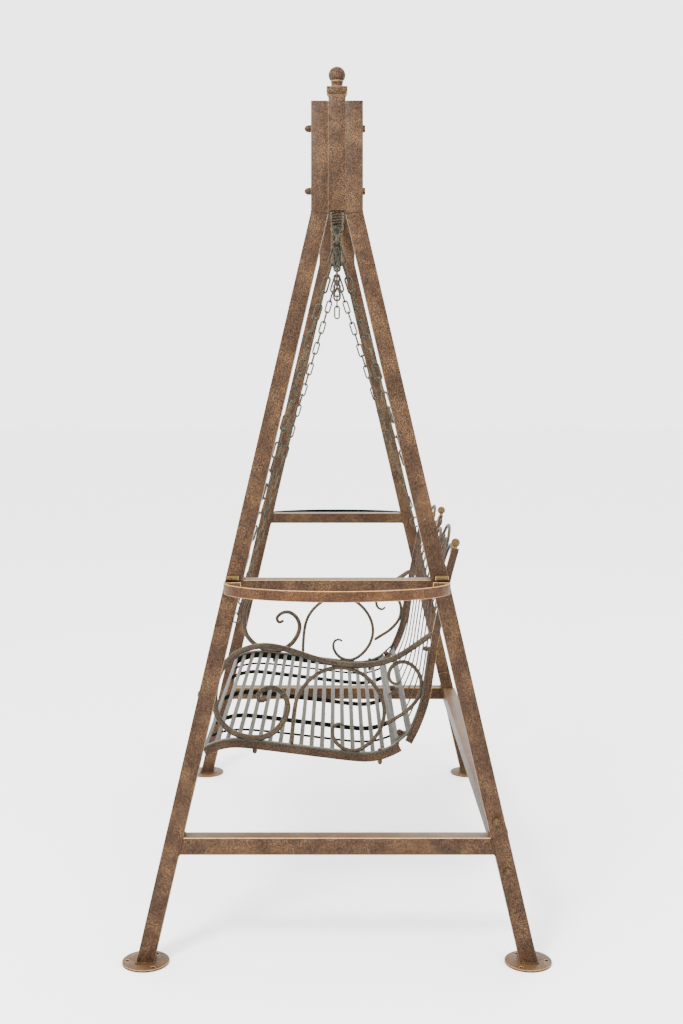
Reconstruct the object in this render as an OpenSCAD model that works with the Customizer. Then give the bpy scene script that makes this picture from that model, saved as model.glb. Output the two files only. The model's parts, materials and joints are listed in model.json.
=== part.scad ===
// Garden swing bench: a wrought bench hung by chains and springs between two A-frames.
// +X runs along the bench, the bench faces -Y, +Z is up, and the origin is on the ground.

/* [A-frames] */
// Distance between the two A-frames' centre planes
frame_span = 1462; // [1380:1:1800]
// Distance between the front and rear feet's centres
foot_spread = 892; // [860:1:1060]
// Height of the posts' top faces above the ground
post_top = 2021; // [1960:1:2200]
// Height at which the legs bend to upright
bend_height = 1748; // [1700:1:1760]
// Outside width of the square tubes
tube = 40; // [36:1:50]
// Wall of the square tubes
tube_wall = 2; // [1.5:0.5:4]
// Height of the lower braces' centre lines
brace_height = 277; // [240:1:360]
// Height of the middle rails' centre lines
mid_height = 878; // [820:1:960]
// Height of the middle rails' section
mid_section = 34; // [25:1:40]
// Diameter of the foot plates
foot_d = 110; // [100:1:140]
// Thickness of the foot plates
foot_t = 5; // [4:0.5:10]
// Pitch circle of the ground anchor holes
anchor_pcd = 86; // [80:1:92]
// Diameter of the ground anchor holes
anchor_d = 9; // [6:0.5:12]

/* [Side hoops] */
// How far a side hoop stands out from its A-frame
hoop_reach = 133; // [80:1:160]
// Height of the hoop's flat bar
hoop_height = 25; // [16:1:32]
// Thickness of the hoop's flat bar
hoop_t = 6; // [4:0.5:8]

/* [Header] */
// Height of the header's upper rail centre line
header_top = 1992; // [1980:1:2000]
// Height of the header's lower rail centre line
header_low = 1885; // [1870:1:1900]
// Outside width of the header's lower rail
header_low_tube = 30; // [24:1:36]
// Half the distance between the two hangers
hang_x = 545; // [535:1:560]

/* [Springs and chains] */
// Outside diameter of the hanger springs
spring_d = 32; // [28:1:38]
// Wire diameter of the hanger springs
spring_wire = 6; // [5:0.5:7]
// Length of a spring's coils when the bench hangs at rest
spring_length = 94; // [80:1:100]
// Wire diameter of the chain links
link_wire = 5; // [4:0.25:6]
// Distance from link to link that the chains aim for
link_pitch = 36; // [33:1:42]
// Outside width of the chain links
link_width = 20; // [18:0.5:24]

/* [Bench] */
// Half the distance between the two seat rails
bench_x = 520; // [500:1:530]
// Depth of the flat bars that make the seat rails
rail_height = 19; // [16:1:24]
// Thickness of the seat rails
rail_t = 8; // [6:1:12]
// Width of a seat slat
slat_width = 11; // [9:1:14]
// Thickness of a seat slat
slat_t = 4; // [3:0.5:6]
// Distance from slat to slat along the seat
slat_pitch = 26; // [22:0.5:32]
// Diameter of the arms' round bar
arm_d = 15; // [12:1:18]
// Diameter of the scrolls' round bar
scroll_d = 10; // [8:1:12]
// Width of the back posts' flat bar
back_post_width = 19; // [16:1:24]
// Thickness of the back posts' flat bar
back_post_t = 8; // [8:1:14]
// Thickness of the side strips that join the seat to the back
strip_t = 4; // [3:0.5:5]
// Diameter of the back's rods
rod_d = 3.5; // [3:0.5:4.5]
// Number of pairs of back rods
rod_pairs = 10; // [6:2:14]

/* [Fits] */
// Gap between an upright leg and the post that it clamps
post_gap = 0.5; // [0.2:0.1:1]
// Gap round a bolt in its hole
bolt_gap = 0.3; // [0.2:0.1:1]
// Gap between links, hooks and eyes that hang in one another
hang_gap = 0.3; // [0.2:0.05:0.6]

/* [Hidden] */
$fn = 48;

bronze = [0.45, 0.33, 0.24];
brass = [0.72, 0.6, 0.38];
patina = [0.3, 0.34, 0.3];
grey_steel = [0.52, 0.5, 0.45];

sides = [-1, 1];
half_span = frame_span / 2;
half_tube = tube / 2;
// Legs: an upright top beside the post, then a straight slope down to the foot
leg_upright_y = tube + post_gap;
leg_top = post_top - 14;
leg_lean = atan((foot_spread / 2 - leg_upright_y) / (bend_height - foot_t));
function leg_y(z) = leg_upright_y + max(0, bend_height - z) * tan(leg_lean);
// Half the leg's width, measured level across its slope
leg_level = half_tube / cos(leg_lean);
post_bottom = bend_height + 5;
bolt_low_z = post_bottom + 46;
bolt_high_z = post_top - 76;
post_bolt_r = 5;

// Stretcher between the rear legs
plate_t = 5;
plate_length = 150;
stretcher_bolt_r = 5;
stretcher_bolt_step = 58;
stretcher_y = leg_y(brace_height);

// Hangers: the eye's ring, the hook bar that swings in it, the spring and the drawbar eye
eye_wire = 8;
eye_r = 11;
eye_z = header_low - header_low_tube / 2 - eye_r - eye_wire / 2 + 2;
hook_wire = 6;
pivot_z = eye_z - (eye_r - eye_wire / 2 - hook_wire / 2 - hang_gap);
hook_leg_x = 13;
plug_t = 6;
spring_top = pivot_z - 18 - plug_t;
spring_bottom = spring_top - spring_length;
drawbar_tip = spring_bottom - plug_t - 14;
drawbar_eye_r = 14;
drawbar_wire = 7;
drawbar_z = drawbar_tip - drawbar_eye_r + 1;
// The two chains and the spare links share the drawbar's eye side by side
share_x = 7.5;
share_z = drawbar_z - sqrt(pow(drawbar_eye_r, 2) - pow(share_x, 2));
quick_wire = 6;
quick_length = 60;
quick_width = 24;

// Bench: places in the side view are [y, z]
seat_line = [[-330, 430], [-292, 446], [-242, 451], [-142, 440], [-42, 428], [20, 420],
    [70, 416], [105, 420], [133, 430], [157, 442]];
back_line = [[178, 455], [200, 499], [220, 556], [231, 620], [245, 716], [267, 822], [279, 879], [304, 968]];
arm_line = [[242, 729], [190, 692], [140, 662], [85, 648], [35, 647], [-16, 653], [-67, 667],
    [-108, 681], [-150, 692], [-187, 695], [-224, 688], [-258, 671], [-284, 643], [-300, 605],
    [-305, 560], [-300, 525], [-285, 500], [-258, 478], [-222, 467], [-185, 467], [-155, 482],
    [-132, 510], [-122, 543], [-132, 572], [-155, 590], [-180, 588], [-197, 572], [-190, 557],
    [-175, 563]];
ring_scroll_line = [[-112, 448], [-109, 515], [-100, 563], [-78, 600], [-44, 628], [-7, 640],
    [30, 638], [67, 622], [95, 594], [113, 561], [118, 524], [108, 487], [85, 456], [55, 436],
    [27, 435], [3, 448], [-11, 471], [-10, 492], [4, 501], [18, 495]];
rear_scroll_line = [[121, 499], [145, 514], [173, 532], [197, 557], [208, 580], [210, 606], [204, 626],
    [189, 645], [168, 655], [147, 651], [133, 637], [129, 619], [136, 604], [150, 600], [158, 608]];
ball_d = 22;
back_end_z = 939;
centre_post_z = 966;
centre_post_width = 12;
top_rail_z = 858;
rod_bend_z = 705;
hoop_r = 104;
hoop_d = 8;
curl_d = 6;
chain_ring_r = 15.5;
front_ring = [-330, 572];
rear_ring_z = 886;
arm_bolt_y = [-205, 107];
arm_bolt_r = 3;
back_bolt_z = 688;
// How far welded pieces run into each other
weld = 0.5;

// ---- Curves and sweeps ----
function unit(v) = v / norm(v);
function spline_at(p, i, t) =
    let (a = p[max(i - 1, 0)], b = p[i], c = p[i + 1], d = p[min(i + 2, len(p) - 1)])
    0.5 * (2 * b + (c - a) * t + (2 * a - 5 * b + 4 * c - d) * t * t
        + (3 * b - a - 3 * c + d) * t * t * t);
// Smooth curve through the points, with a number of steps between each two
function smooth(p, steps) = concat(
    [for (i = [0:len(p) - 2], k = [0:steps - 1]) spline_at(p, i, k / steps)], [p[len(p) - 1]]);
// A side-view direction turned a quarter, so that the back's direction of rise becomes forward
function forward(t) = [-t[1], t[0]];
function tangents(p) = [for (i = [0:len(p) - 1])
    unit(p[min(i + 1, len(p) - 1)] - p[max(i - 1, 0)])];
function round_section(d, n) = [for (k = [0:n - 1]) d / 2 * [cos(360 * k / n), sin(360 * k / n)]];

// A taper is [the share of the section left at the end, where along the path it starts]
function thinning(q, taper) = q <= taper[1] ? 1 : 1 - (1 - taper[0]) * (q - taper[1]) / (1 - taper[1]);
// One solid that carries a section along a path; side is a direction the path never runs in
module sweep(path, section, side, taper = [1, 1]) {
    n = len(section);
    m = len(path);
    t = tangents(path);
    points = [for (i = [0:m - 1], s = section)
        let (u = unit(cross(side, t[i])), v = cross(t[i], u), k = thinning(i / (m - 1), taper))
        path[i] + k * (u * s[0] + v * s[1])];
    walls = [for (i = [0:m - 2], j = [0:n - 1])
        let (a = i * n, b = a + n, j2 = (j + 1) % n)
        each [[a + j, b + j, b + j2], [a + j, b + j2, a + j2]]];
    ends = [[for (j = [0:n - 1]) j], [for (j = [0:n - 1]) m * n - 1 - j]];
    polyhedron(points = points, faces = concat(walls, ends));
}

// Lifts a side-view curve into space at one x
function side_path(line, x) = [for (p = line) [x, p[0], p[1]]];
// Outline of a flat bar of one width that follows a side-view curve
function bar_outline(line, w) =
    let (t = tangents(line))
    concat([for (i = [0:len(line) - 1]) line[i] + w / 2 * [-t[i][1], t[i][0]]],
        [for (i = [len(line) - 1:-1:0]) line[i] - w / 2 * [-t[i][1], t[i][0]]]);
// Extrudes a side-view shape along X, centred on one x
module side_extrude(x, t) {
    translate([x - t / 2, 0, 0])
        rotate([90, 0, 90])
            linear_extrude(t)
                children();
}
// Stands what is drawn along Z on a point, facing a direction
module face_along(p, d) {
    translate(p)
        rotate([0, acos(d[2] / norm(d)), atan2(d[1], d[0])])
            children();
}

// ---- Fasteners ----
// Dome nut with its flat side at z = 0
module dome_nut(r) {
    h = r * 0.85;
    cylinder(h = h, r = r, $fn = 6);
    translate([0, 0, h])
        rotate_extrude()
            polygon(concat([[0, 0]], [for (a = [0:15:90]) r * 0.86 * [cos(a), sin(a)]]));
}
module hex_head(r, h) {
    cylinder(h = h, r = r, $fn = 6);
}

// ---- A-frames ----
// Side view of a leg, a given distance inside its outer faces
module leg_outline(inset) {
    w = half_tube - inset;
    slope_w = w / cos(leg_lean);
    bend_dz = w * tan(leg_lean / 2);
    top = leg_top - inset;
    polygon([
        [leg_y(foot_t) - slope_w, foot_t],
        [leg_upright_y - w, bend_height - bend_dz],
        [leg_upright_y - w, top],
        [leg_upright_y + w, top],
        [leg_upright_y + w, bend_height + bend_dz],
        [leg_y(foot_t) + slope_w, foot_t]]);
}
module leg(sx, sy) {
    difference() {
        mirror([0, sy < 0 ? 1 : 0, 0])
            difference() {
                side_extrude(sx * half_span, tube)
                    leg_outline(0);
                side_extrude(sx * half_span, tube - 2 * tube_wall)
                    leg_outline(tube_wall);
            }
        for (z = [bolt_low_z, bolt_high_z])
            translate([sx * half_span, sy * leg_upright_y, z])
                rotate([90, 0, 0])
                    cylinder(h = tube + 2, r = post_bolt_r + bolt_gap, center = true);
        if (sy > 0)
            stretcher_bolt_places(sx)
                cylinder(h = tube + 2, r = stretcher_bolt_r + bolt_gap, center = true);
    }
}
// Puts what is drawn along Z on each stretcher bolt's axis, facing out through the leg
module stretcher_bolt_places(sx) {
    for (s = sides)
        translate([sx * half_span, leg_y(brace_height + s * stretcher_bolt_step),
                brace_height + s * stretcher_bolt_step])
            rotate([0, sx * 90, 0])
                children();
}
module foot(sx, sy) {
    translate([sx * half_span, sy * foot_spread / 2, 0])
        difference() {
            cylinder(h = foot_t, d = foot_d);
            for (a = [0, 120, 240])
                rotate(a + sy * 90)
                    translate([anchor_pcd / 2, 0, -1])
                        cylinder(h = foot_t + 2, d = anchor_d);
        }
}
// Side view of a tube between a frame's two legs, its ends cut to the legs' slope
module cross_outline(z, height, inset) {
    low = z - height / 2 + inset;
    high = z + height / 2 - inset;
    polygon([
        [-leg_y(low) + leg_level, low],
        [leg_y(low) - leg_level, low],
        [leg_y(high) - leg_level, high],
        [-leg_y(high) + leg_level, high]]);
}
module hollow_cross_tube(sx, z, height) {
    difference() {
        side_extrude(sx * half_span, tube)
            cross_outline(z, height, 0);
        side_extrude(sx * half_span, tube - 2 * tube_wall)
            cross_outline(z, height, tube_wall);
    }
}
// Flat bar hoop that stands out from a frame's two legs, with a foot on each
module side_hoop(sx) {
    face_x = half_span + half_tube;
    half_width = leg_y(mid_height) + leg_level;
    foot_in = leg_y(mid_height) - leg_level;
    steps = 40;
    outer = [for (k = [0:steps]) [hoop_reach * sin(180 * k / steps), -half_width * cos(180 * k / steps)]];
    inner = [for (k = [steps:-1:0])
        [max(hoop_t, (hoop_reach - hoop_t) * sin(180 * k / steps)),
            -(half_width - hoop_t) * cos(180 * k / steps)]];
    foot_turn = [[hoop_t, foot_in], [0, foot_in]];
    foot_start = [[0, -foot_in], [hoop_t, -foot_in]];
    inside = [for (p = inner) if (p[0] > hoop_t) p];
    mirror([sx < 0 ? 1 : 0, 0, 0])
        translate([face_x, 0, mid_height - hoop_height / 2])
            linear_extrude(hoop_height)
                polygon(concat(outer, [foot_turn[1], foot_turn[0]], inside, [foot_start[1], foot_start[0]]));
}
pin_r = 5.5;
module hoop_pins() {
    color(brass)
        for (sx = sides, sy = sides)
            translate([sx * (half_span + half_tube + pin_r), sy * leg_y(mid_height), mid_height + 22])
                rotate([90, 0, 0])
                    cylinder(h = 30, r = pin_r, center = true);
}
module rear_stretcher() {
    inside = half_span - half_tube;
    color(bronze) {
        difference() {
            translate([-inside + plate_t, stretcher_y - half_tube, brace_height - half_tube])
                cube([2 * (inside - plate_t), tube, tube]);
            translate([-inside - 1, stretcher_y - half_tube + tube_wall, brace_height - half_tube + tube_wall])
                cube([2 * inside + 2, tube - 2 * tube_wall, tube - 2 * tube_wall]);
        }
        for (sx = sides)
            difference() {
                translate([sx * (inside - plate_t / 2), stretcher_y, brace_height])
                    rotate([leg_lean, 0, 0])
                        cube([plate_t, tube, plate_length], center = true);
                stretcher_bolt_places(sx)
                    cylinder(h = 2 * tube, r = stretcher_bolt_r + bolt_gap, center = true);
            }
    }
}
module stretcher_bolts() {
    color(brass)
        for (sx = sides)
            stretcher_bolt_places(sx) {
                translate([0, 0, -half_tube - plate_t])
                    cylinder(h = tube + plate_t + 8, r = stretcher_bolt_r);
                translate([0, 0, -half_tube - plate_t - 5])
                    hex_head(9, 5);
                translate([0, 0, half_tube])
                    dome_nut(9);
            }
}

// ---- Header ----
module header_rail(z, w) {
    reach = half_span - half_tube;
    difference() {
        translate([-reach, -w / 2, z - w / 2])
            cube([2 * reach, w, w]);
        translate([-reach - 1, -w / 2 + tube_wall, z - w / 2 + tube_wall])
            cube([2 * reach + 2, w - 2 * tube_wall, w - 2 * tube_wall]);
    }
}
// A row of rings between the header's rails
module header_scrolls() {
    low = header_low + header_low_tube / 2;
    high = header_top - half_tube;
    ring_r = (high - low) / 2 - scroll_d / 2 + 0.5;
    step = 3.2 * ring_r;
    count = floor((frame_span - tube) / step) - 1;
    color(bronze)
        for (k = [0:count - 1])
            translate([(k - (count - 1) / 2) * step, 0, (low + high) / 2])
                rotate([90, 0, 0])
                    rotate_extrude()
                        translate([ring_r, 0])
                            circle(d = scroll_d);
}
module post(sx) {
    inside = tube - 2 * tube_wall;
    color(bronze)
        difference() {
            translate([sx * half_span - half_tube, -half_tube, post_bottom])
                cube([tube, tube, post_top - post_bottom]);
            translate([sx * half_span - inside / 2, -inside / 2, post_bottom - 1])
                cube([inside, inside, post_top - post_bottom + 2]);
            for (z = [bolt_low_z, bolt_high_z])
                translate([sx * half_span, 0, z])
                    rotate([90, 0, 0])
                        cylinder(h = tube + 2, r = post_bolt_r + bolt_gap, center = true);
        }
}
// Square cap with a neck and a ball, on the post's open top
module finial(sx) {
    cap = tube + 9;
    cap_t = 19;
    ball_r = 20;
    color(bronze)
        translate([sx * half_span, 0, post_top]) {
            rotate(45)
                rotate_extrude($fn = 4)
                    polygon([[0, 0], [half_tube * sqrt(2), 0], [cap / sqrt(2), 8], [cap / sqrt(2), cap_t], [0, cap_t]]);
            translate([0, 0, cap_t])
                rotate_extrude()
                    polygon(concat([[0, 0], [15, 0], [13.5, 3], [13.5, 9], [14.5, 13]],
                        [for (a = [-45:15:90]) [ball_r * cos(a), 30 + ball_r * sin(a)]]));
        }
}
module post_bolts() {
    reach = leg_upright_y + half_tube;
    color(brass)
        for (sx = sides, z = [bolt_low_z, bolt_high_z])
            translate([sx * half_span, reach, z])
                rotate([90, 0, 0]) {
                    cylinder(h = 2 * reach + 8, r = post_bolt_r);
                    translate([0, 0, -5.5])
                        hex_head(9, 5.5);
                }
}
module post_nuts() {
    reach = leg_upright_y + half_tube;
    color(brass)
        for (sx = sides, z = [bolt_low_z, bolt_high_z])
            translate([sx * half_span, -reach, z])
                rotate([90, 0, 0])
                    difference() {
                        dome_nut(9);
                        translate([0, 0, -1])
                            cylinder(h = 9, r = post_bolt_r);
                    }
}
module hanger_eyes() {
    color(bronze)
        for (sx = sides)
            translate([sx * hang_x, 0, eye_z])
                rotate([0, 90, 0])
                    rotate_extrude()
                        translate([eye_r, 0])
                            circle(d = eye_wire);
}

// ---- Hangers ----
module upper_hook(sx) {
    plug_r = spring_d / 2;
    stub_r = spring_d / 2 - spring_wire - 0.5;
    color(patina)
        translate([sx * hang_x, 0, 0]) {
            translate([0, 0, pivot_z])
                rotate([0, 90, 0])
                    cylinder(h = 2 * hook_leg_x + 10, d = hook_wire, center = true);
            for (s = sides)
                translate([s * hook_leg_x, 0, spring_top])
                    cylinder(h = pivot_z - spring_top, d = hook_wire - 0.6);
            translate([0, 0, spring_top])
                cylinder(h = plug_t, r = plug_r);
            translate([0, 0, spring_top - 12])
                cylinder(h = 12, r = stub_r);
        }
}
module spring(sx) {
    coil_r = (spring_d - spring_wire) / 2;
    turns = floor((spring_length - spring_wire) / (spring_wire + 0.5));
    per_turn = 14;
    steps = turns * per_turn;
    rise = spring_length - spring_wire;
    color(patina)
        translate([sx * hang_x, 0, spring_bottom + spring_wire / 2])
            sweep([for (k = [0:steps]) let (a = 360 * k / per_turn)
                [coil_r * cos(a), coil_r * sin(a), rise * k / steps]],
                round_section(spring_wire, 6), [0, 0, 1]);
}
module lower_hook(sx) {
    plug_r = spring_d / 2;
    stub_r = spring_d / 2 - spring_wire - 0.5;
    color(patina)
        translate([sx * hang_x, 0, 0]) {
            translate([0, 0, spring_bottom])
                cylinder(h = 12, r = stub_r);
            translate([0, 0, spring_bottom - plug_t])
                cylinder(h = plug_t, r = plug_r);
            translate([0, 0, drawbar_tip])
                cylinder(h = 14, r1 = 4.5, r2 = 11);
            translate([0, 0, drawbar_z])
                rotate([90, 0, 0])
                    rotate_extrude()
                        translate([drawbar_eye_r, 0])
                            circle(d = drawbar_wire);
        }
}
// A link lying along Z: its two end bends are a given length apart, centre to centre
module link(length, width, wire) {
    bend_r = (width - wire) / 2;
    straight = length - 2 * bend_r;
    for (s = sides) {
        translate([s * bend_r, 0, -straight / 2])
            cylinder(h = straight, d = wire, $fn = 24);
        translate([0, 0, s * straight / 2])
            rotate([90, 0, 0])
                rotate([0, 0, s > 0 ? 0 : 180])
                    rotate_extrude(angle = 180, $fn = 24)
                        translate([bend_r, 0])
                            circle(d = wire, $fn = 24);
    }
}
// Where a chain starts at the hook and ends at the bench
function chain_top(sx, sy) = [sx * hang_x + sy * share_x, 0, share_z];
function chain_foot(sx, sy) = sy < 0
    ? [sx * bench_x, front_ring[0], front_ring[1]]
    : [sx * bench_x, rear_ring_y, rear_ring_z];
// How far a link's end bend reaches past the bar that it hangs on
function hook_over(bar) = bar / 2 + link_wire / 2 + hang_gap;
quick_start = -(drawbar_wire / 2 + quick_wire / 2 + 3);
links_start = quick_start + quick_length - quick_wire / 2 - link_wire / 2 - hang_gap;
module quick_links() {
    color(brass)
        for (sx = sides, sy = sides) {
            top = chain_top(sx, sy);
            way = unit(chain_foot(sx, sy) - top);
            face_along(top + way * (quick_start + quick_length / 2), way)
                link(quick_length, quick_width, quick_wire);
        }
}
module chain(sx, sy) {
    top = chain_top(sx, sy);
    foot = chain_foot(sx, sy);
    way = unit(foot - top);
    links_end = norm(foot - top) - chain_ring_r + hook_over(link_wire);
    lap = link_wire + hang_gap;
    run = links_end - links_start - lap;
    count = 2 * round((run / link_pitch - 1) / 2) + 1;
    pitch = run / count;
    length = pitch + lap;
    color(patina)
        for (k = [0:count - 1])
            face_along(top + way * (links_start + k * pitch + length / 2), way)
                rotate(k % 2 == 0 ? 90 : 0)
                    link(length, link_width, link_wire);
}
module chain_rings() {
    color(patina)
        for (sx = sides, sy = sides)
            translate(chain_foot(sx, sy))
                rotate([0, 90, 0])
                    rotate_extrude()
                        translate([chain_ring_r, 0])
                            circle(d = link_wire);
}
module spare_links() {
    count = 3;
    lap = link_wire + hang_gap;
    first = quick_length + 8;
    length = link_pitch + lap;
    top = drawbar_z - drawbar_eye_r + lap / 2 + drawbar_wire / 2;
    color(patina)
        for (sx = sides)
            translate([sx * hang_x, 0, top]) {
                translate([0, 0, -first / 2])
                    rotate(90)
                        link(first, link_width, link_wire);
                for (k = [1:count - 1])
                    translate([0, 0, lap - first - (k - 1) * link_pitch - length / 2])
                        rotate(k % 2 == 0 ? 90 : 0)
                            link(length, link_width, link_wire);
            }
}

// ---- Bench seat ----
seat_curve = smooth(seat_line, 4);
function seat_z(y) = lookup(y, seat_curve);
function seat_slope(y) = atan((seat_z(y + 4) - seat_z(y - 4)) / 8);
module seat_rail(sx) {
    color(bronze)
        difference() {
            side_extrude(sx * bench_x, rail_t)
                polygon(bar_outline(seat_curve, rail_height));
            for (y = arm_bolt_y)
                arm_bolt_hole(sx, y);
        }
}
module arm_bolt_hole(sx, y) {
    translate([sx * bench_x, y, seat_z(y)])
        cylinder(h = 3 * rail_height, r = arm_bolt_r + bolt_gap, center = true);
}
slat_first_y = seat_line[0][0] + 5;
rear_slat_y = seat_line[len(seat_line) - 1][0] - 8;
rear_slat_width = slat_width + 11;
slat_last_y = rear_slat_y - (rear_slat_width + slat_width) / 2 - rail_t;
slat_count = floor((slat_last_y - slat_first_y) / slat_pitch);
slat_lift = rail_height / 2 - slat_t / 2;
slat_reach = bench_x - rail_t / 2;
module slat(y, width) {
    translate([0, y, seat_z(y)])
        rotate([seat_slope(y), 0, 0])
            translate([0, 0, slat_lift])
                cube([2 * slat_reach, width, slat_t], center = true);
}
module seat_slats() {
    color(grey_steel)
        difference() {
            union() {
                for (k = [0:slat_count])
                    slat(slat_first_y + k * slat_pitch, slat_width);
                slat(rear_slat_y, rear_slat_width);
                tabs(tab_from, tab_bolt_at + tab_past_bolt * tab_way, slat_t / 2 + 0.1);
            }
            tab_bolt_holes();
        }
}
support_t = 5;
support_lift = rail_height / 2 - slat_t - support_t / 2;
module seat_bars() {
    color(patina)
        for (x = [-bench_x / 2, 0, bench_x / 2])
            side_extrude(x, 20)
                translate([0, support_lift])
                    polygon(bar_outline(seat_curve, support_t));
}
seat_rod_d = 6;
module seat_rods() {
    drop = rail_height / 2 - slat_t - seat_rod_d / 2;
    line = smooth(seat_line, 1);
    color(patina)
        for (s = sides)
            sweep(side_path([for (p = line) [p[0], p[1] + drop]], s * bench_x * 0.75),
                round_section(seat_rod_d, 8), [1, 0, 0]);
}

// ---- Bench back ----
back_curve = smooth(back_line, 4);
function back_y(z) = lookup(z, [for (p = back_curve) [p[1], p[0]]]);
seat_tangents = tangents(seat_curve);
back_tangents = tangents(back_curve);
// The rods and hoops lie a little in front of the middle of the posts' width
panel_in = 2;
panel_curve = [for (i = [0:len(back_curve) - 1]) back_curve[i] + panel_in * forward(back_tangents[i])];
function panel_y(z) = lookup(z, [for (p = panel_curve) [p[1], p[0]]]);
rear_ring_y = back_y(rear_ring_z) - back_post_width / 2 - chain_ring_r;
module back_bolt_hole(x) {
    translate([x, back_y(back_bolt_z), back_bolt_z])
        rotate([90, 0, 0])
            cylinder(h = 2 * back_post_width, r = arm_bolt_r + bolt_gap, center = true);
}
module back_post(x) {
    below_end = [for (p = back_curve) if (p[1] < back_end_z - 1) p];
    line = concat(below_end, [[back_y(back_end_z), back_end_z]]);
    color(bronze)
        difference() {
            side_extrude(x, back_post_t)
                polygon(bar_outline(line, back_post_width));
            back_bolt_hole(x);
        }
}
// Short bar that stands on the middle of the top rail and carries the centre ball
module back_centre_post() {
    rise = (centre_post_z - top_rail_z) / 4;
    line = [for (k = [0:4]) [panel_y(top_rail_z + k * rise), top_rail_z + k * rise]];
    color(bronze)
        side_extrude(0, back_post_t)
            polygon(bar_outline(line, centre_post_width));
}
module back_balls() {
    color(brass)
        for (place = [[-bench_x, back_y(back_end_z), back_end_z], [0, panel_y(centre_post_z), centre_post_z],
                [bench_x, back_y(back_end_z), back_end_z]])
            translate(place) {
                translate([0, 0, 13])
                    sphere(d = ball_d);
                translate([0, 0, -1])
                    cylinder(h = 8, d = 9);
            }
}
// Strip that lies on a seat rail, crosses the gap and runs up the front of the back post
strip_top_z = 712;
strip_width = 14;
strip_line = concat(
    [for (i = [0:len(seat_curve) - 3]) seat_curve[i] + (rail_height + strip_t) / 2 * forward(seat_tangents[i])],
    [for (i = [2:len(back_curve) - 1]) if (back_curve[i][1] < strip_top_z)
        back_curve[i] + (back_post_width + strip_t) / 2 * forward(back_tangents[i])]);
module side_strip(sx) {
    color(grey_steel)
        difference() {
            side_extrude(sx * bench_x, strip_width)
                polygon(bar_outline(strip_line, strip_t));
            back_bolt_hole(sx * bench_x);
            for (y = arm_bolt_y)
                arm_bolt_hole(sx, y);
        }
}
// Flat bar between the feet of the back posts; the rods are welded to its rear face
foot_way = back_tangents[1];
foot_bar_t = 4;
foot_bar_width = 22;
foot_bar_up = 17;
foot_bar_out = panel_in + (rod_d + foot_bar_t) / 2 - weld;
foot_bar_at = back_line[0] + foot_bar_up * foot_way + foot_bar_out * forward(foot_way);
// Tabs on the seat's rear slat and on this bar lie on each other and are bolted
tab_x = [-bench_x + 50, 0, bench_x - 50];
tab_width = 26;
tab_from = [rear_slat_y, seat_z(rear_slat_y) + slat_lift];
tab_way = unit(foot_bar_at - tab_from);
tab_bolt_at = (tab_from + foot_bar_at) / 2;
tab_past_bolt = 10;
module tabs(start, end, lift) {
    shift = lift * forward(tab_way);
    for (x = tab_x)
        side_extrude(x, tab_width)
            polygon(bar_outline([start + shift, end + shift], slat_t));
}
module back_bottom_rail() {
    color(grey_steel)
        difference() {
            union() {
                translate([0, foot_bar_at[0], foot_bar_at[1]])
                    rotate([atan2(foot_way[1], foot_way[0]), 0, 0])
                        cube([2 * bench_x - back_post_t, foot_bar_width, foot_bar_t], center = true);
                tabs(foot_bar_at, tab_bolt_at - tab_past_bolt * tab_way, -slat_t / 2);
            }
            tab_bolt_holes();
        }
}
module tab_bolt_places() {
    for (x = tab_x)
        face_along([x, tab_bolt_at[0], tab_bolt_at[1]], [0, forward(tab_way)[0], forward(tab_way)[1]])
            children();
}
module tab_bolt_holes() {
    tab_bolt_places()
        cylinder(h = 4 * slat_t, r = arm_bolt_r + bolt_gap, center = true);
}
// Places on the back's panel from a list of [x, z]
function panel_path(line) = [for (p = line) [p[0], panel_y(p[1]), p[1]]];
function arch(x, z, r, steps) =
    [for (k = [0:steps]) let (a = 180 * k / steps) [x - r * cos(a), z + r * sin(a)]];
module back_hoops() {
    rod = round_section(hoop_d, 8);
    inner = back_post_t / 2;
    outer = bench_x - back_post_t / 2;
    low_r = ((outer - inner) / 2 - hoop_r - 1) / 2;
    hoop_foot_z = top_rail_z + hoop_d;
    color(bronze)
        for (s = sides) {
            middle = s * (inner + outer) / 2;
            rail = [[s * inner, top_rail_z], [middle, top_rail_z], [s * outer, top_rail_z]];
            sweep(panel_path(rail), rod, [0, 1, 0]);
            sweep(panel_path(arch(middle, hoop_foot_z, hoop_r - hoop_d / 2, 18)), rod, [0, 1, 0]);
            for (side = sides) {
                low_x = middle + side * (hoop_r + low_r + 0.5);
                sweep(panel_path(arch(low_x, hoop_foot_z, low_r - hoop_d / 2, 12)), rod, [0, 1, 0]);
            }
        }
}
// A rod of a pair rises straight, then swings out to meet its neighbour and back again
rod_pitch = (2 * bench_x - back_post_t) / rod_pairs;
rod_bend = 2;
rod_swing = rod_pitch / 2 - rod_d - 0.25;
half_diamond = rod_swing + 2 * rod_bend;
function rod_out(z) =
    let (rise = max(0, z - rod_bend_z) / half_diamond, wave = abs(rise - 2 * round(rise / 2)))
    min(rod_swing, max(0, wave * half_diamond - rod_bend));
module back_rods() {
    end_z = top_rail_z - hoop_d / 2 + weld;
    curve_z = [for (i = [1:2:len(panel_curve) - 1]) panel_curve[i][1]];
    bend_z = [for (k = [0:6], step = [-3, -1, 1, 3]) rod_bend_z + k * half_diamond + step * rod_bend];
    straight = [for (z = curve_z) if (z < rod_bend_z - 10) z];
    heights = concat(straight, [for (z = bend_z) if (z < end_z - 3) z], [end_z]);
    color(patina)
        for (k = [0:rod_pairs - 1], out = sides) {
            x = (k - (rod_pairs - 1) / 2) * rod_pitch + out * (rod_d / 2 + 0.1);
            sweep([for (z = heights) [x + out * rod_out(z), panel_y(z), z]],
                round_section(rod_d, 6), [0, 1, 0]);
        }
}
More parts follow.
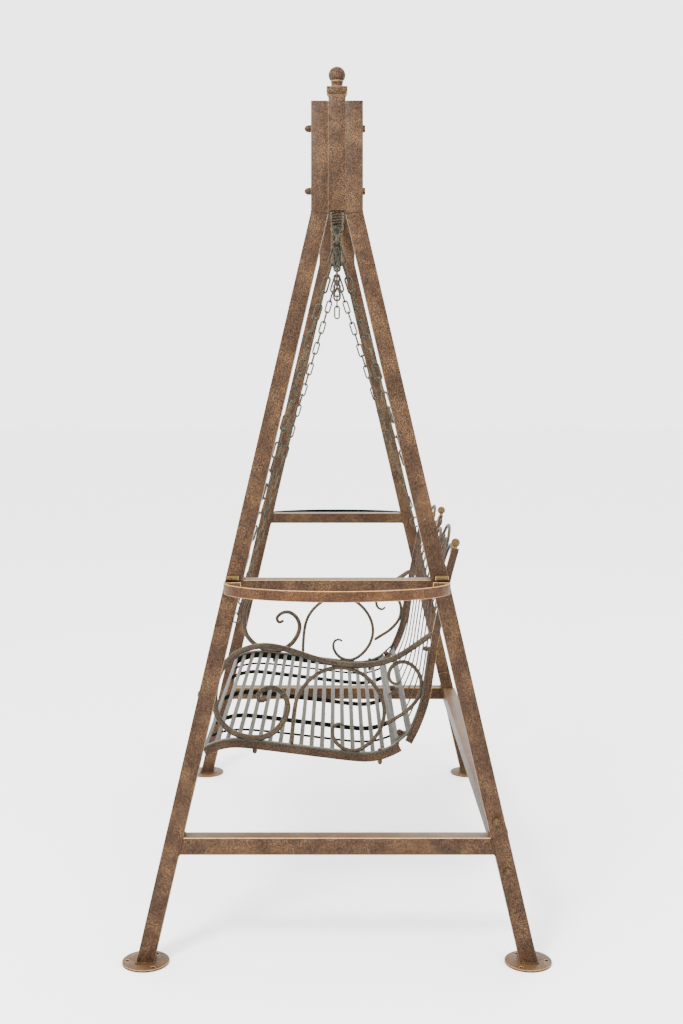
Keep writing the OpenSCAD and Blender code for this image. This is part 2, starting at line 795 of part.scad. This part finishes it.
// Curls inside the tall hoops, and beside the balls
module back_scrolls() {
    rod = round_section(curl_d, 8);
    middle = bench_x / 2;
    horn = [[5, 866], [7, 890], [14, 918], [32, 936], [52, 926], [56, 905], [42, 892], [27, 902]];
    leaf = [[8, 920], [20, 941], [36, 956], [50, 953], [53, 941]];
    color(bronze) {
        for (s = sides, side = sides)
            sweep(panel_path([for (p = smooth(horn, 3)) [s * middle + side * p[0], p[1]]]), rod, [0, 1, 0]);
        for (side = sides)
            sweep(panel_path([for (p = smooth(leaf, 3)) [side * p[0], p[1]]]), rod, [0, 1, 0]);
        for (s = sides)
            sweep(panel_path([for (p = smooth(leaf, 3)) [s * (bench_x - p[0]), p[1] - 22]]), rod, [0, 1, 0]);
    }
}

// ---- Arms ----
module arm(sx) {
    color(bronze)
        sweep(side_path(smooth(arm_line, 3), sx * bench_x), round_section(arm_d, 8), [1, 0, 0],
            taper = [0.55, 0.75]);
}
module arm_ring_scrolls() {
    color(bronze)
        for (sx = sides)
            sweep(side_path(smooth(ring_scroll_line, 3), sx * bench_x), round_section(scroll_d, 8), [1, 0, 0],
                taper = [0.6, 0.8]);
}
module arm_rear_scrolls() {
    color(bronze)
        for (sx = sides)
            sweep(side_path(smooth(rear_scroll_line, 3), sx * bench_x), round_section(scroll_d, 8), [1, 0, 0],
                taper = [0.6, 0.7]);
}
module bench_bolts() {
    color(brass) {
        for (sx = sides, y = arm_bolt_y)
            translate([sx * bench_x, y, seat_z(y) - rail_height / 2 - 1]) {
                cylinder(h = rail_height + strip_t + 4, r = arm_bolt_r);
                rotate([180, 0, 0])
                    dome_nut(6.5);
            }
        for (sx = sides)
            translate([sx * bench_x, arm_bolt_y[1], seat_z(arm_bolt_y[1]) + rail_height / 2 + strip_t])
                hex_head(6, 5);
        for (sx = sides) {
            front = back_post_width / 2 + 1;
            translate([sx * bench_x, back_y(back_bolt_z) - front - strip_t, back_bolt_z])
                rotate([90, 0, 0]) {
                    dome_nut(7);
                    translate([0, 0, -2 * front - 1])
                        cylinder(h = 2 * front + 2, r = arm_bolt_r);
                    translate([0, 0, -2 * front - 4])
                        hex_head(6.5, 4);
                }
        }
        tab_bolt_places() {
            translate([0, 0, slat_t + 0.1])
                dome_nut(8);
            translate([0, 0, -slat_t - 1])
                cylinder(h = 2 * slat_t + 3, r = arm_bolt_r);
            translate([0, 0, -slat_t - 4])
                hex_head(6.5, 4);
        }
    }
}

color(bronze) leg(-1, -1);  // leg_front_left
color(bronze) foot(-1, -1);  // foot_front_left
color(bronze) leg(-1, 1);  // leg_rear_left
color(bronze) foot(-1, 1);  // foot_rear_left
color(bronze) hollow_cross_tube(-1, brace_height, tube);  // lower_brace_left
color(bronze) hollow_cross_tube(-1, mid_height, mid_section);  // mid_rail_left
color(bronze) side_hoop(-1);  // side_hoop_left
post(-1);  // post_left
finial(-1);  // finial_left
spring(-1);  // spring_left
upper_hook(-1);  // upper_hook_left
lower_hook(-1);  // lower_hook_left
chain(-1, -1);  // chain_front_left
chain(-1, 1);  // chain_rear_left
seat_rail(-1);  // seat_rail_left
back_post(-bench_x);  // back_post_left
arm(-1);  // arm_left
color(bronze) leg(1, -1);  // leg_front_right
color(bronze) foot(1, -1);  // foot_front_right
color(bronze) leg(1, 1);  // leg_rear_right
color(bronze) foot(1, 1);  // foot_rear_right
color(bronze) hollow_cross_tube(1, brace_height, tube);  // lower_brace_right
color(bronze) hollow_cross_tube(1, mid_height, mid_section);  // mid_rail_right
color(bronze) side_hoop(1);  // side_hoop_right
post(1);  // post_right
finial(1);  // finial_right
spring(1);  // spring_right
upper_hook(1);  // upper_hook_right
lower_hook(1);  // lower_hook_right
chain(1, -1);  // chain_front_right
chain(1, 1);  // chain_rear_right
seat_rail(1);  // seat_rail_right
back_post(bench_x);  // back_post_right
arm(1);  // arm_right
hoop_pins();
rear_stretcher();
stretcher_bolts();
header_scrolls();
post_bolts();
post_nuts();
hanger_eyes();
quick_links();
chain_rings();
spare_links();
seat_slats();
seat_bars();
seat_rods();
back_balls();
back_bottom_rail();
back_hoops();
back_scrolls();
arm_ring_scrolls();
arm_rear_scrolls();
bench_bolts();
color(bronze) header_rail(header_top, tube);  // header_top_rail
color(bronze) header_rail(header_low, header_low_tube);  // header_low_rail
back_centre_post();
back_rods();
side_strip(-1);  // side_strip_left
side_strip(1);  // side_strip_right
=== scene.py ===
import json
import math

import bmesh
import bpy
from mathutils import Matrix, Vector


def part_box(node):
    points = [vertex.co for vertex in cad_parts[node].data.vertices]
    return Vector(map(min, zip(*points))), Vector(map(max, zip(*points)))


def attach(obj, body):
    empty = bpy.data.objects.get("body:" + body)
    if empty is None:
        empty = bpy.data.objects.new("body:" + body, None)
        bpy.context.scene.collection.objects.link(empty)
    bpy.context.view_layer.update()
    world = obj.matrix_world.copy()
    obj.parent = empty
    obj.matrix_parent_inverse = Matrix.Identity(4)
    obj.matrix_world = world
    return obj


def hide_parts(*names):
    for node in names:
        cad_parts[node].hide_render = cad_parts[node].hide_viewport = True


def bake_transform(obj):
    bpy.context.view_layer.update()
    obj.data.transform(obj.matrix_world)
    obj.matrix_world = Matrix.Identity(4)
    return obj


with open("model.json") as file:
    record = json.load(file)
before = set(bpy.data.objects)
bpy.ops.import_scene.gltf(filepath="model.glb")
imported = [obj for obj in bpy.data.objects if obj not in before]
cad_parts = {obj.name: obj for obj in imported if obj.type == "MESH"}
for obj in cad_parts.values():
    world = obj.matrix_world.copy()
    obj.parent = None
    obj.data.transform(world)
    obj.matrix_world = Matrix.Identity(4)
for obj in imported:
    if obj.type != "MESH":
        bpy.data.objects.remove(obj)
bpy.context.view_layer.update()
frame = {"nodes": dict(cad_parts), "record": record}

NODES = frame["nodes"]
BODY_OF = {node: body for body, nodes in frame["record"]["behaviour"]["bodies"].items() for node in nodes}
MM = 0.001
SIDES = ("left", "right")


# ---------------------------------------------------------------- camera, light and floor

CAMERA_PLACE = (3.811, 0.0, 1.375)
LENS_MM = 46.4
CAMERA_SHIFT = (0.0044, -0.1357)
FARTHEST_SEEN = 60

WORLD_STRENGTH = 3.6
# each light's place, what it points at, its width in metres and its power in watts
LIGHTS = {
    "key": ((3.6, -1.6, 3.9), (0.7, 0, 1.8), 1.2, 420),
    "fill": ((3.5, 4.0, 2.2), (0, 0, 0.9), 3.0, 60),
    "back": ((-4.0, 1.5, 3.5), (0, 0, 1.2), 2.5, 70),
}
FLOOR_REACH = 30
FLOOR_COLOUR = (0.96, 0.96, 0.955, 1)
FLOOR_ROUGHNESS = 0.8


def add_camera():
    data = bpy.data.cameras.new("camera")
    data.lens = LENS_MM
    data.shift_x, data.shift_y = CAMERA_SHIFT
    data.clip_end = FARTHEST_SEEN
    camera = bpy.data.objects.new("camera", data)
    camera.location = CAMERA_PLACE
    camera.rotation_euler = (math.pi / 2, 0, math.pi / 2)
    bpy.context.scene.collection.objects.link(camera)
    bpy.context.scene.camera = camera


def add_area_light(name, place, target, size, power):
    data = bpy.data.lights.new(name, "AREA")
    data.shape = "DISK"
    data.size = size
    data.energy = power
    light = bpy.data.objects.new(name, data)
    light.location = place
    light.rotation_euler = (Vector(target) - Vector(place)).to_track_quat("-Z", "Y").to_euler()
    bpy.context.scene.collection.objects.link(light)


def add_lights():
    """A white sky, and three soft lamps."""
    world = bpy.data.worlds.new("studio")
    world.use_nodes = True
    sky = world.node_tree.nodes["Background"]
    sky.inputs["Color"].default_value = (1, 1, 1, 1)
    sky.inputs["Strength"].default_value = WORLD_STRENGTH
    bpy.context.scene.world = world
    for name, (place, target, size, power) in LIGHTS.items():
        add_area_light(name, place, target, size, power)


def add_floor():
    bm = bmesh.new()
    bmesh.ops.create_grid(bm, x_segments=1, y_segments=1, size=FLOOR_REACH)
    mesh = bpy.data.meshes.new("floor")
    bm.to_mesh(mesh)
    bm.free()
    floor = bpy.data.objects.new("floor", mesh)
    bpy.context.scene.collection.objects.link(floor)
    material = bpy.data.materials.new("floor")
    material.use_nodes = True
    surface = material.node_tree.nodes["Principled BSDF"]
    surface.inputs["Base Color"].default_value = FLOOR_COLOUR
    surface.inputs["Roughness"].default_value = FLOOR_ROUGHNESS
    mesh.materials.append(material)


# ---------------------------------------------------------------- finishes

class Finish:
    """A node material with short ways to add the nodes that the finishes share."""

    def __init__(self, name):
        self.material = bpy.data.materials.new(name)
        self.material.use_nodes = True
        self.tree = self.material.node_tree
        self.surface = self.tree.nodes["Principled BSDF"]
        self.coordinates = self.tree.nodes.new("ShaderNodeTexCoord")

    def add(self, kind, **settings):
        node = self.tree.nodes.new(kind)
        for key, value in settings.items():
            setattr(node, key, value)
        return node

    def link(self, out, into):
        self.tree.links.new(out, into)

    def stretched(self, scale):
        mapping = self.add("ShaderNodeMapping")
        mapping.inputs["Scale"].default_value = scale
        self.link(self.coordinates.outputs["Object"], mapping.inputs["Vector"])
        return mapping.outputs["Vector"]

    def noise(self, scale, detail, rough, where=None, distortion=0.0):
        node = self.add("ShaderNodeTexNoise")
        node.inputs["Scale"].default_value = scale
        node.inputs["Detail"].default_value = detail
        node.inputs["Roughness"].default_value = rough
        node.inputs["Distortion"].default_value = distortion
        self.link(where or self.coordinates.outputs["Object"], node.inputs["Vector"])
        return node.outputs["Fac"]

    def ramp(self, value, low, high, to_low=0.0, to_high=1.0):
        node = self.add("ShaderNodeMapRange", interpolation_type="SMOOTHSTEP")
        for name, number in (("From Min", low), ("From Max", high), ("To Min", to_low), ("To Max", to_high)):
            node.inputs[name].default_value = number
        self.link(value, node.inputs["Value"])
        return node.outputs["Result"]

    def maths(self, operation, first, second):
        node = self.add("ShaderNodeMath", operation=operation)
        for socket, value in zip(node.inputs, (first, second)):
            if isinstance(value, (int, float)):
                socket.default_value = value
            else:
                self.link(value, socket)
        return node.outputs["Value"]

    def mix(self, share, first, second):
        node = self.add("ShaderNodeMix", data_type="RGBA")
        self.link(share, node.inputs["Factor"])
        for socket, value in ((node.inputs[6], first), (node.inputs[7], second)):
            if isinstance(value, tuple):
                socket.default_value = (*value, 1)
            else:
                self.link(value, socket)
        return node.outputs[2]

    def facing_up(self):
        split = self.add("ShaderNodeSeparateXYZ")
        self.link(self.coordinates.outputs["Normal"], split.inputs["Vector"])
        return split.outputs["Z"]

    def edges(self):
        node = self.add("ShaderNodeAttribute", attribute_name="edge")
        return node.outputs["Fac"]

    def bump(self, height, depth, strength):
        node = self.add("ShaderNodeBump")
        node.inputs["Strength"].default_value = strength
        node.inputs["Distance"].default_value = depth
        self.link(height, node.inputs["Height"])
        self.link(node.outputs["Normal"], self.surface.inputs["Normal"])


SRGB_KNEE = 0.04045


def linear(red, green, blue):
    """An sRGB colour, 0 to 255, as linear numbers."""
    shares = (red / 255, green / 255, blue / 255)
    return tuple(share / 12.92 if share <= SRGB_KNEE else ((share + 0.055) / 1.055) ** 2.4
                 for share in shares)


RUST_RED = linear(104, 48, 24)
EDGE_GOLD = linear(186, 148, 96)
# noise scales, from the widest marks in the paint to the finest
BLOTCH_SCALE = 16
SPECKLE_SCALE = 200
GRAIN_SCALE = 420
FLECK_SCALE = 800
RELIEF_DEPTH = 0.4 * MM
RELIEF_STRENGTH = 0.6


def brushed_paint(name, dark, middle, light, gold, streak=(1, 1, 1), gilding=0.5, metallic=0.0, rust=0.0,
                  painted_top_light=0.1, edge_wear=0.8, shine=0.1):
    """Dark paint dry-brushed with lighter colours, worn bright on its edges, with painted light on top and
    painted shade below.
    """
    f = Finish(name)
    along = f.stretched(streak)
    blotches = f.noise(BLOTCH_SCALE, 4, 0.6)
    grain = f.noise(GRAIN_SCALE, 4, 0.65, along, 0.2)
    flecks = f.noise(FLECK_SCALE, 2, 0.6)
    speckle = f.noise(SPECKLE_SCALE, 4, 0.75)
    ground = f.mix(f.ramp(blotches, 0.3, 0.6, 0.45, 1), dark, middle)
    brushed = f.mix(f.ramp(grain, 0.43, 0.6, 0, 0.95), ground, light)
    warm = f.mix(f.ramp(speckle, 0.53, 0.66, 0, rust), brushed, RUST_RED)
    dry = f.maths("MULTIPLY", f.ramp(flecks, 0.52, 0.66), f.ramp(blotches, 0.4, 0.66, 0.3, 1))
    gilded = f.mix(f.maths("MULTIPLY", dry, gilding), warm, gold)
    soft_edge = f.maths("MULTIPLY", f.edges(), f.ramp(speckle, 0.4, 0.56, 0.5, 1))
    worn = f.mix(f.maths("MULTIPLY", soft_edge, edge_wear), gilded, EDGE_GOLD)
    shade = f.ramp(f.facing_up(), -0.95, -0.15, 0.75, 0)
    # painted light: faces that point up are lightened towards the gold colour, as if lit from above
    top_lit = f.mix(f.ramp(f.facing_up(), 0.55, 1.0, 0, painted_top_light), worn, gold)
    f.link(f.mix(shade, top_lit, dark), f.surface.inputs["Base Color"])
    f.surface.inputs["Metallic"].default_value = metallic
    f.surface.inputs["Specular IOR Level"].default_value = shine
    f.link(f.ramp(grain, 0.35, 0.65, 0.6, 0.36), f.surface.inputs["Roughness"])
    relief = f.maths("ADD", f.maths("MULTIPLY", grain, 0.8), f.maths("MULTIPLY", flecks, 0.5))
    f.bump(relief, RELIEF_DEPTH, RELIEF_STRENGTH)
    return f.material


MATERIALS = {
    "bronze_paint": brushed_paint("bronze_paint", linear(6, 5, 4), linear(22, 14, 10), linear(48, 33, 23),
                                  linear(158, 120, 76), streak=(1, 1, 0.6), gilding=0.62, rust=0.25),
    "hoop_paint": brushed_paint("hoop_paint", linear(7, 5, 4), linear(30, 17, 11), linear(62, 39, 25),
                                linear(160, 120, 72), gilding=0.6, rust=0.35),
    "forged_bronze": brushed_paint("forged_bronze", linear(5, 6, 5), linear(26, 22, 18), linear(58, 49, 38),
                                   linear(140, 116, 80), streak=(0.8, 0.8, 0.8), gilding=0.4, rust=0.1),
    "brown_bars": brushed_paint("brown_bars", linear(5, 4, 4), linear(24, 16, 12), linear(54, 40, 29),
                                linear(138, 108, 70), streak=(0.8, 0.8, 0.6), gilding=0.4, rust=0.15),
    "aged_brass": brushed_paint("aged_brass", linear(12, 9, 6), linear(44, 33, 19), linear(88, 67, 38),
                                linear(180, 144, 88), gilding=0.5, metallic=0.25, rust=0.05),
    "dark_chain": brushed_paint("dark_chain", linear(5, 8, 7), linear(22, 25, 21), linear(58, 54, 42),
                                linear(150, 128, 84), gilding=0.5, metallic=0.15),
    "spring_steel": brushed_paint("spring_steel", linear(7, 6, 5), linear(28, 23, 18), linear(60, 51, 38),
                                  linear(130, 108, 74), gilding=0.35, metallic=0.15),
    # dark patina, also used for the painted shade that fills the gaps between the posts and the legs
    "green_patina": brushed_paint("green_patina", linear(2, 4, 4), linear(6, 10, 9), linear(13, 17, 14),
                                  linear(44, 42, 32), gilding=0.12, painted_top_light=0.0, edge_wear=0.0, shine=0.0),
    "grey_slats": brushed_paint("grey_slats", linear(16, 15, 12), linear(36, 34, 29), linear(54, 51, 44),
                                linear(96, 88, 70), streak=(0.5, 1, 1), gilding=0.25, edge_wear=0.25),
    "weld_metal": brushed_paint("weld_metal", linear(7, 6, 5), linear(26, 18, 13), linear(56, 40, 28),
                                linear(160, 126, 82), gilding=0.45, metallic=0.1, rust=0.15),
}


# ---------------------------------------------------------------- making and placing pieces

SAME_POINT = 0.005 * MM
SHARP_CORNER = math.radians(32)
NEARLY_FLAT = math.radians(1)
NEARLY_STRAIGHT = math.radians(0.2)
TURNED_INWARD = 0.3
# edges that bend more than this many degrees stay hard
EASED_SHADING = 30
ROUND_SHADING = 180
BEAD_SHADING = 60


def smooth_by_angle(bm, degrees):
    """Shades every face smooth and leaves only the edges sharper than an angle hard."""
    for face in bm.faces:
        face.smooth = True
    for edge in bm.edges:
        edge.smooth = len(edge.link_faces) == 2 and edge.calc_face_angle() < math.radians(degrees)


def new_piece(name, bm, finish):
    """Turns a bmesh into an object with its finish."""
    mesh = bpy.data.meshes.new(name)
    bm.to_mesh(mesh)
    bm.free()
    mesh.materials.append(MATERIALS[finish])
    piece = bpy.data.objects.new(name, mesh)
    bpy.context.scene.collection.objects.link(piece)
    return piece


def finish_piece(name, bm, body, finish, nodes=()):
    """Turns a bmesh into a piece that rides on a body, in place of CAD nodes if any are named."""
    piece = new_piece(name, bm, finish)
    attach(piece, body)
    if nodes:
        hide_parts(*nodes)
    return piece


def copied(node):
    """A CAD node's mesh, its loose triangles joined up."""
    bm = bmesh.new()
    bm.from_mesh(NODES[node].data)
    bmesh.ops.remove_doubles(bm, verts=bm.verts, dist=SAME_POINT)
    return bm


def mark_edges(bm, worn):
    """Records which faces are worn edges, for the finishes to read."""
    layer = bm.loops.layers.float.get("edge") or bm.loops.layers.float.new("edge")
    for face in bm.faces:
        for loop in face.loops:
            loop[layer] = 1.0 if face in worn else 0.0


def eased(node, radius, finish, segments=2, inside=None, fuller=0.0):
    """A CAD node with its sharp edges rounded over.

    inside is the finish of the faces turned to the middle of the swing, and fuller is how far the
    surface grows outward.
    """
    bm = copied(node)
    bm.normal_update()
    shifts = [vert.normal * vert.calc_shell_factor() * fuller for vert in bm.verts]
    for vert, shift in zip(bm.verts, shifts):
        vert.co += shift
    bmesh.ops.dissolve_limit(bm, angle_limit=NEARLY_FLAT, verts=bm.verts, edges=bm.edges)
    corners = [e for e in bm.edges if len(e.link_faces) == 2 and e.calc_face_angle() > SHARP_CORNER]
    made = bmesh.ops.bevel(bm, geom=corners, offset=radius, offset_type="OFFSET", segments=segments,
                           profile=0.5, affect="EDGES", material=-1, clamp_overlap=True)
    mark_edges(bm, set(made["faces"]))
    smooth_by_angle(bm, EASED_SHADING)
    if inside:
        outward = 1 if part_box(node)[0][0] > 0 else -1
        bm.normal_update()
        for face in bm.faces:
            face.material_index = 1 if face.normal.x * outward < -TURNED_INWARD else 0
    piece = finish_piece(node + "_piece", bm, BODY_OF[node], finish, [node])
    if inside:
        piece.data.materials.append(MATERIALS[inside])


def rounded(node, thicker, finish, levels=2):
    """A CAD node's many-sided bars made truly round by subdivision, its thickness kept."""
    bm = copied(node)
    bmesh.ops.dissolve_limit(bm, angle_limit=NEARLY_STRAIGHT, verts=bm.verts, edges=bm.edges, delimit=set())
    for vert in bm.verts:
        vert.normal_update()
    normals = [vert.normal.copy() for vert in bm.verts]
    for vert, normal in zip(bm.verts, normals):
        vert.co += normal * thicker
    mark_edges(bm, set())
    smooth_by_angle(bm, ROUND_SHADING)
    piece = finish_piece(node + "_piece", bm, BODY_OF[node], finish, [node])
    subdivision = piece.modifiers.new("round", "SUBSURF")
    subdivision.levels = subdivision.render_levels = levels


def tube_through(bm, points, radii, normals, sides, closed):
    """Joins rings of vertices round a path; each normal points out of the path's own plane."""
    rings = []
    total = len(points)
    for place, point in enumerate(points):
        before = points[place - 1] if closed or place else point
        after = points[(place + 1) % total] if closed or place < total - 1 else point
        across = (after - before).normalized().cross(normals[place]).normalized()
        up = across.cross((after - before).normalized())
        rings.append([bm.verts.new(point + radii[place] * (math.cos(turn) * across + math.sin(turn) * up))
                      for turn in (2 * math.pi * side / sides for side in range(sides))])
    pairs = list(zip(rings, rings[1:])) + ([(rings[-1], rings[0])] if closed else [])
    for low, high in pairs:
        for side in range(sides):
            following = (side + 1) % sides
            bm.faces.new((low[side], low[following], high[following], high[side]))
    if not closed:
        bm.faces.new(rings[0])
        bm.faces.new(rings[-1])


# ---------------------------------------------------------------- welds, and painted shade in the gaps

BEAD_STEP = 1.5 * MM
BEAD_SIDES = 6
FOOT_BEAD = 2.6 * MM
FOOT_BEAD_HEIGHT = 1 * MM
MITRE_BEAD = 1.1 * MM
TUBE_BEAD = 2.2 * MM
GAP_SHADE_INSET = 4 * MM
SAME_LEVEL = 0.2 * MM
# a leg's bend is looked for at least this far above its foot and below its top, and of the
# vertices on the same upright face the lowest counts
ABOVE_FOOT = 0.5
BELOW_TOP = 0.2
LOWER_FIRST = 0.001


def bead(bm, corners, radius):
    """A rippled weld bead that runs once round a flat loop of corners."""
    points = []
    for start, end in zip(corners, corners[1:] + corners[:1]):
        steps = max(2, round((end - start).length / BEAD_STEP))
        points += [start.lerp(end, step / steps) for step in range(steps)]
    normal = (corners[1] - corners[0]).cross(corners[2] - corners[1]).normalized()
    ripples = [1 + 0.2 * math.sin(2.2 * k) + 0.15 * math.sin(0.6 * k + 1) for k in range(len(points))]
    radii = [radius * ripple for ripple in ripples]
    tube_through(bm, points, radii, [normal] * len(points), BEAD_SIDES, True)


def reach_at(node, height, sign):
    """How far a CAD node reaches along Y on one side, at one height."""
    return max(sign * v.co.y for v in NODES[node].data.vertices if abs(v.co.z - height) < SAME_LEVEL) * sign


def loop_across(node, sign):
    """Corners of a cross tube's end, where it meets a leg."""
    low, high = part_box(node)
    near, far = reach_at(node, high[2], sign), reach_at(node, low[2], sign)
    return [Vector((low[0], near, high[2])), Vector((high[0], near, high[2])),
            Vector((high[0], far, low[2])), Vector((low[0], far, low[2]))]


def loop_level(low, high, height):
    """Corners of a level rectangle."""
    return [Vector((low[0], low[1], height)), Vector((high[0], low[1], height)),
            Vector((high[0], high[1], height)), Vector((low[0], high[1], height))]


def loop_upright(x, low, high):
    """Corners of a rectangle that faces along X."""
    return [Vector((x, low[1], low[2])), Vector((x, high[1], low[2])),
            Vector((x, high[1], high[2])), Vector((x, low[1], high[2]))]


def leg_parts(node):
    """The Y range of a leg's foot, and the (z, y) places of its bend outside and inside."""
    low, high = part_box(node)
    verts = [v.co for v in NODES[node].data.vertices]
    foot = [v.y for v in verts if v.z < low[2] + SAME_LEVEL]
    top = [v.y for v in verts if v.z > high[2] - SAME_LEVEL]
    middle = [(v.z, v.y) for v in verts if low[2] + ABOVE_FOOT < v.z < high[2] - BELOW_TOP]

    def bend_of(upright_y):
        return min(middle, key=lambda place: abs(place[1] - upright_y) + LOWER_FIRST * place[0])

    return min(foot), max(foot), bend_of(max(top, key=abs)), bend_of(min(top, key=abs))


def add_welds():
    """Beads round the legs' feet and bends, and round the ends of the tubes between them."""
    bm = bmesh.new()
    for node in [n for n in NODES if n.startswith("leg_")]:
        low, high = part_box(node)
        foot_low, foot_high, outer, inner = leg_parts(node)
        bead(bm, loop_level((low[0], foot_low), (high[0], foot_high), low[2] + FOOT_BEAD_HEIGHT), FOOT_BEAD)
        bead(bm, [Vector((low[0], outer[1], outer[0])), Vector((high[0], outer[1], outer[0])),
                  Vector((high[0], inner[1], inner[0])), Vector((low[0], inner[1], inner[0]))], MITRE_BEAD)
    for node in [n for n in NODES if n.startswith(("lower_brace", "mid_rail"))]:
        for sign in (-1, 1):
            bead(bm, loop_across(node, sign), TUBE_BEAD)
    for node in [n for n in NODES if n.startswith("header_") and n.endswith("rail")]:
        low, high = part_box(node)
        for x in (low[0], high[0]):
            bead(bm, loop_upright(x, low, high), TUBE_BEAD)
    mark_edges(bm, set())
    bmesh.ops.recalc_face_normals(bm, faces=bm.faces)
    smooth_by_angle(bm, BEAD_SHADING)
    finish_piece("frame_welds", bm, "frame", "weld_metal")


def add_gap_shade():
    """Dark blocks of painted shade that fill the thin gaps between the posts and the legs that clamp them.
    """
    bm = bmesh.new()
    for side in SIDES:
        post_low, post_high = (Vector(corner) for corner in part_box("post_" + side))
        for end in ("front", "rear"):
            leg = f"leg_{end}_{side}"
            inner = leg_parts(leg)[3]
            post_face = post_low.y if end == "front" else post_high.y
            low = Vector((post_low.x + GAP_SHADE_INSET, min(post_face, inner[1]), post_low.z + GAP_SHADE_INSET))
            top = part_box(leg)[1][2] - GAP_SHADE_INSET
            high = Vector((post_high.x - GAP_SHADE_INSET, max(post_face, inner[1]), top))
            made = bmesh.ops.create_cube(bm, size=1)["verts"]
            for vert in made:
                vert.co = Vector([(low[axis] + high[axis]) / 2 + vert.co[axis] * (high[axis] - low[axis])
                                  for axis in range(3)])
    mark_edges(bm, set())
    # painted shade: a dark matte block stands in each gap between post and leg, where there is only shadow
    finish_piece("post_gap_shade", bm, "frame", "green_patina")


# ---------------------------------------------------------------- springs

# the wire's share is of the coil's outer width
SPRING_TURNS = 13
SPRING_WIRE_SHARE = 6 / 32
STEPS_PER_TURN = 28
WIRE_SIDES = 12


def add_spring(side):
    """A close-wound coil that stretches between the hanger and the bench."""
    node = "spring_" + side
    low, high = (Vector(corner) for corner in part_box(node))
    wire = SPRING_WIRE_SHARE * (high.x - low.x)
    radius = (high.x - low.x - wire) / 2
    centre = (low + high) / 2
    steps = SPRING_TURNS * STEPS_PER_TURN
    rise = high.z - low.z - wire
    points = []
    for step in range(steps + 1):
        turn = 2 * math.pi * step / STEPS_PER_TURN
        points.append(Vector((centre.x + radius * math.cos(turn), centre.y + radius * math.sin(turn),
                              low.z + wire / 2 + rise * step / steps)))
    upward = [Vector((0, 0, 1))] * len(points)
    bm = bmesh.new()
    tube_through(bm, points, [wire / 2] * len(points), upward, WIRE_SIDES, False)
    mark_edges(bm, set())
    bmesh.ops.recalc_face_normals(bm, faces=bm.faces)
    smooth_by_angle(bm, BEAD_SHADING)
    coil = new_piece(node + "_coil", bm, "spring_steel")
    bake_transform(coil)
    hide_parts(node)


# ---------------------------------------------------------------- what is made from each CAD node

TUBES = ("leg_", "lower_brace", "mid_rail", "post_left", "post_right", "rear_stretcher", "header_top",
         "header_low")
TUBE_CORNER = 1.7 * MM
TUBE_CORNER_SEGMENTS = 3
# nodes by the start of their names, the radius of their eased edges in millimetres, and their finish
EASED = (
    (("foot_",), 1.0, "bronze_paint"),
    (("back_post", "back_centre"), 1.2, "brown_bars"),
    (("side_strip", "back_bottom_rail", "seat_slats"), 0.9, "grey_slats"),
    (("header_scrolls", "hanger_eyes"), 0.5, "forged_bronze"),
    (("finial_",), 1.6, "bronze_paint"),
    (("hoop_pins", "back_balls"), 1.0, "aged_brass"),
    (("post_bolts", "post_nuts", "stretcher_bolts", "bench_bolts"), 0.6, "weld_metal"),
    (("upper_hook", "lower_hook", "chain_", "spare_links", "quick_links"), 0.5, "dark_chain"),
)
# flat bars on edge, with the finish of their outer side; their inner side is dark
DARK_INSIDE = {"side_hoop": "hoop_paint", "seat_rail": "brown_bars"}
FLAT_BAR_EDGE = 1.2 * MM
SUPPORT_BAR_EDGE = 1.0 * MM
SUPPORT_BAR_FULLER = 1.0 * MM
# how far each many-sided bar's surface moves out, in millimetres, so that it keeps its thickness
ROUND_BARS = {"arm_left": 0.7, "arm_right": 0.7, "arm_ring_scrolls": 0.45, "arm_rear_scrolls": 0.45,
              "back_hoops": 0.45, "back_scrolls": 0.28, "seat_rods": 0.28}
BACK_ROD_THICKER = 0.35 * MM


def nodes_named(starts):
    return [node for node in NODES if node.startswith(starts)]


add_camera()
add_lights()
add_floor()

for tube in nodes_named(TUBES):
    eased(tube, TUBE_CORNER, "bronze_paint", TUBE_CORNER_SEGMENTS)
for starts, radius, finish in EASED:
    for eased_node in nodes_named(starts):
        eased(eased_node, radius * MM, finish)
for start, finish in DARK_INSIDE.items():
    for flat_bar in nodes_named(start):
        eased(flat_bar, FLAT_BAR_EDGE, finish, inside="green_patina")
eased("seat_bars", SUPPORT_BAR_EDGE, "green_patina", fuller=SUPPORT_BAR_FULLER)
for bar, thicker in ROUND_BARS.items():
    rounded(bar, thicker * MM, "green_patina" if bar == "seat_rods" else "forged_bronze")
rounded("back_rods", BACK_ROD_THICKER, "brown_bars", 1)
for spring_side in SIDES:
    add_spring(spring_side)
add_welds()
add_gap_shade()
